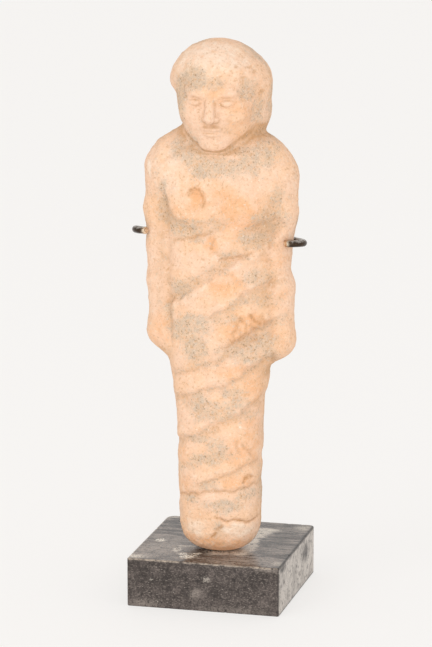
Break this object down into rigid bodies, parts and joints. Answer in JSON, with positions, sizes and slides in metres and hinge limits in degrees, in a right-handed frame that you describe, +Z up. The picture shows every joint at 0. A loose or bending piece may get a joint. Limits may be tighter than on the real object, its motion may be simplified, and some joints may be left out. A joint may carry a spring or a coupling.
{
  "type": "terracotta figurine on stand",
  "caption": "Standing man wrapped in folded cloth, hand modelled in terracotta, held by a bent wire cradle on a post in a dark stone block.",
  "frame": {"origin": "centre of the block's underside, where the stand rests", "axes": "+Z up along the figure, -Y out of its front, +X towards its left arm, which is on the right seen from the front"},
  "size_m": [0.0574, 0.0526, 0.1833],
  "materials": {
    "terracotta": "unglazed fired clay with grey soil left in the folds",
    "dark_stone": "honed dark stone, dusty and lightly scuffed",
    "dark_metal": "dark patinated brass, worn at the tips"
  },
  "bodies": {
    "root": {"figurine": "terracotta", "stand_block": "dark_stone", "mount_post": "dark_metal", "cradle_wire": "dark_metal"}
  },
  "joints": []
}
